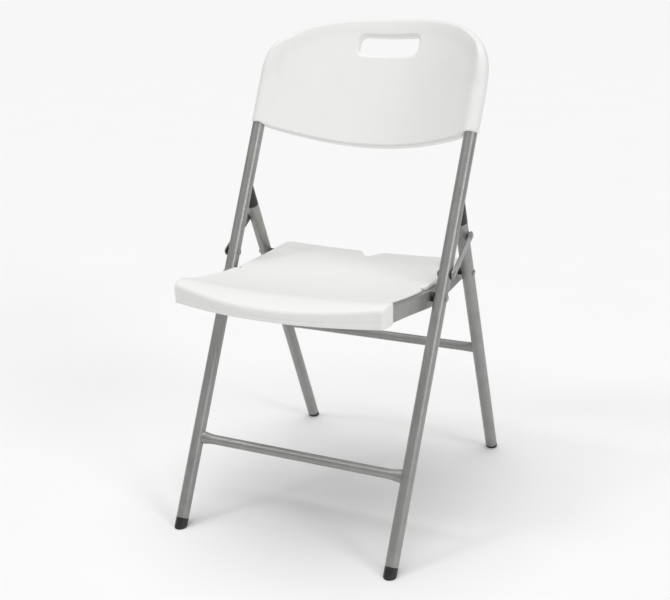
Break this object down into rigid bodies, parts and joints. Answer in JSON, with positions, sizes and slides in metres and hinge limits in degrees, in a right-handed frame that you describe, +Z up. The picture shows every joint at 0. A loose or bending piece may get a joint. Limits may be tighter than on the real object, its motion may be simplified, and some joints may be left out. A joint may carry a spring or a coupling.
{
  "type": "folding chair",
  "caption": "Folding chair with a moulded seat and curved backrest with a hand slot, tubular steel legs, crossbars, seat rails and folding links.",
  "frame": {"origin": "on the floor under the middle of the bounding box of the open chair", "axes": "+Z up, the front of the chair faces -Y, +X across the chair to the right as seen from its front"},
  "size_m": [0.435, 0.5429, 0.8166],
  "materials": {
    "white_plastic": "moulded polyethylene, fine grain",
    "grey_steel": "silver-grey powder coat",
    "link_steel": "silver-grey powder coat",
    "rivet_steel": "plated steel",
    "black_plastic": "moulded, slight sheen"
  },
  "bodies": {
    "frame": {"front_leg_left": "grey_steel", "front_leg_right": "grey_steel", "front_crossbar": "grey_steel", "backrest": "white_plastic", "backrest_screws": "rivet_steel", "front_foot_left": "black_plastic", "front_foot_right": "black_plastic", "seat_pivot_rivet_left": "rivet_steel", "seat_pivot_rivet_right": "rivet_steel", "seat_pivot_spacer_left": "black_plastic", "seat_pivot_spacer_right": "black_plastic", "link_rivet_left": "rivet_steel", "link_rivet_right": "rivet_steel", "link_spacer_left": "black_plastic", "link_spacer_right": "black_plastic"},
    "seat_unit": {"seat": "white_plastic", "seat_screws": "rivet_steel", "seat_rail_left": "grey_steel", "seat_rail_right": "grey_steel"},
    "rear_legs": {"rear_leg_left": "grey_steel", "rear_leg_right": "grey_steel", "rear_crossbar": "grey_steel", "rear_foot_left": "black_plastic", "rear_foot_right": "black_plastic", "rear_cap_left": "black_plastic", "rear_cap_right": "black_plastic", "rail_pivot_rivet_left": "rivet_steel", "rail_pivot_rivet_right": "rivet_steel", "rail_pivot_spacer_left": "black_plastic", "rail_pivot_spacer_right": "black_plastic"},
    "link_left_unit": {"link_left": "link_steel", "brace_rivet_left": "rivet_steel"},
    "link_right_unit": {"link_right": "link_steel", "brace_rivet_right": "rivet_steel"}
  },
  "joints": [
    {"name": "seat_fold", "type": "hinge", "parent": "frame", "child": "seat_unit", "pos_m": [0, -0.04188, 0.40342], "axis": [-1, 0, 0], "range_deg": [0, 110]},
    {"name": "rear_leg_fold", "type": "hinge", "parent": "seat_unit", "child": "rear_legs", "pos_m": [0, 0.09029, 0.41016], "axis": [1, 0, 0], "range_deg": [0, 59.27]},
    {"name": "link_fold_left", "type": "hinge", "parent": "frame", "child": "link_left_unit", "pos_m": [0, -0.02301, 0.43831], "axis": [-1, 0, 0], "range_deg": [0, 130.88]},
    {"name": "link_fold_right", "type": "hinge", "parent": "frame", "child": "link_right_unit", "pos_m": [0, -0.02301, 0.43831], "axis": [-1, 0, 0], "range_deg": [0, 130.88]}
  ],
  "couplings": [
    {"joint": "rear_leg_fold", "follows": "seat_fold", "ratio": 0.537},
    {"joint": "link_fold_left", "follows": "seat_fold", "ratio": 1.1871},
    {"joint": "link_fold_right", "follows": "seat_fold", "ratio": 1.1871}
  ]
}
